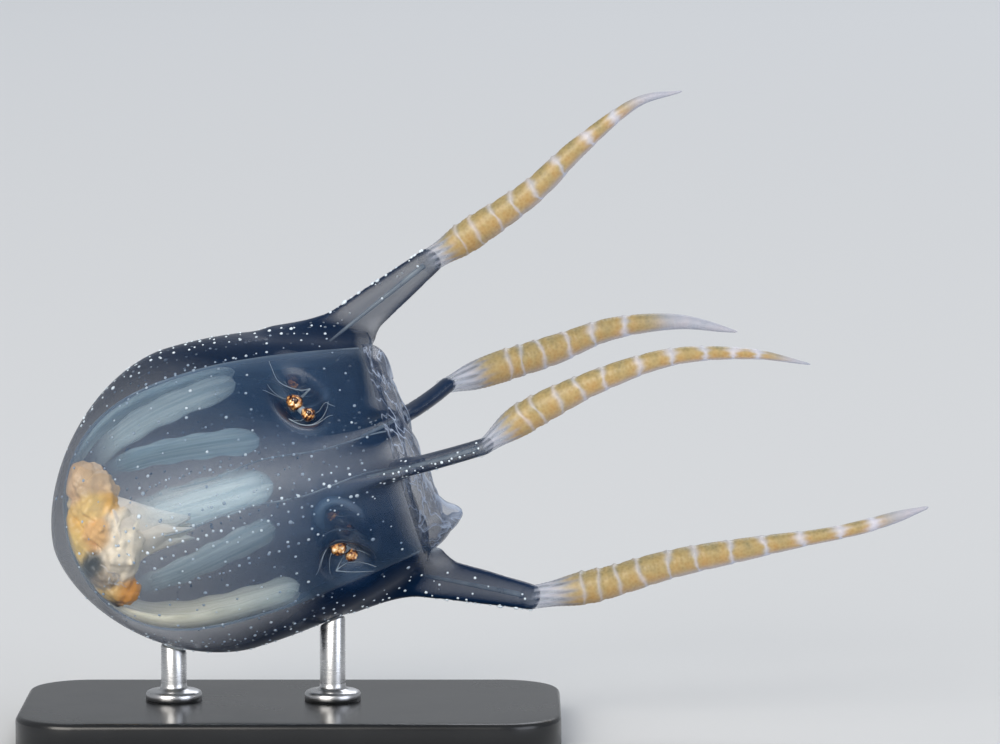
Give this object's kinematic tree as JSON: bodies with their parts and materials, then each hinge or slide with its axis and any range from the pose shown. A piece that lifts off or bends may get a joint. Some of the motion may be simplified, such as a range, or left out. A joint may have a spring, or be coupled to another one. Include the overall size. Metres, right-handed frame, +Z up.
{
  "type": "box jellyfish model",
  "caption": "Life-size box jellyfish, swimming with a tipped clear bell, organs showing inside and banded tentacles trailing, on a flat display stand.",
  "frame": {"origin": "middle of the bounding box's plan, on the underside of the stand's base", "axes": "+X from the bell's apex towards the tentacle tips, +Z up, -Y towards the front"},
  "size_m": [0.0354, 0.0162, 0.0252],
  "materials": {
    "jelly": "clear, faintly blue-grey, wet gloss",
    "velarium": "thin clear membrane, milky at its folds",
    "gonad": "milky blue-white, half see-through",
    "stomach": "ochre and cream lumps, wet",
    "manubrium": "cream white, frilled, wet",
    "eye": "copper brown pigment, polished lens",
    "tentacle": "ochre bands between narrow white rings, wet satin",
    "stand_plate": "black acrylic, satin",
    "stand_rod": "fine brushed"
  },
  "bodies": {
    "root": {"bell": "jelly", "gonad_far_a": "gonad", "gonad_far_b": "gonad", "gonad_lower_a": "gonad", "gonad_lower_b": "gonad", "gonad_near_a": "gonad", "gonad_near_b": "gonad", "gonad_upper_a": "gonad", "gonad_upper_b": "gonad", "manubrium": "manubrium", "pedalium_far": "jelly", "pedalium_lower": "jelly", "pedalium_near": "jelly", "pedalium_upper": "jelly", "rhopalium_far": "eye", "rhopalium_lower": "eye", "rhopalium_near": "eye", "rhopalium_upper": "eye", "stand_base": "stand_plate", "stand_rod_front": "stand_rod", "stand_rod_rear": "stand_rod", "stomach": "stomach", "tentacle_far_middle": "tentacle", "tentacle_far_root": "tentacle", "tentacle_far_tip": "tentacle", "tentacle_lower_middle": "tentacle", "tentacle_lower_root": "tentacle", "tentacle_lower_tip": "tentacle", "tentacle_near_middle": "tentacle", "tentacle_near_root": "tentacle", "tentacle_near_tip": "tentacle", "tentacle_upper_middle": "tentacle", "tentacle_upper_root": "tentacle", "tentacle_upper_tip": "tentacle", "velarium": "velarium"}
  },
  "joints": []
}
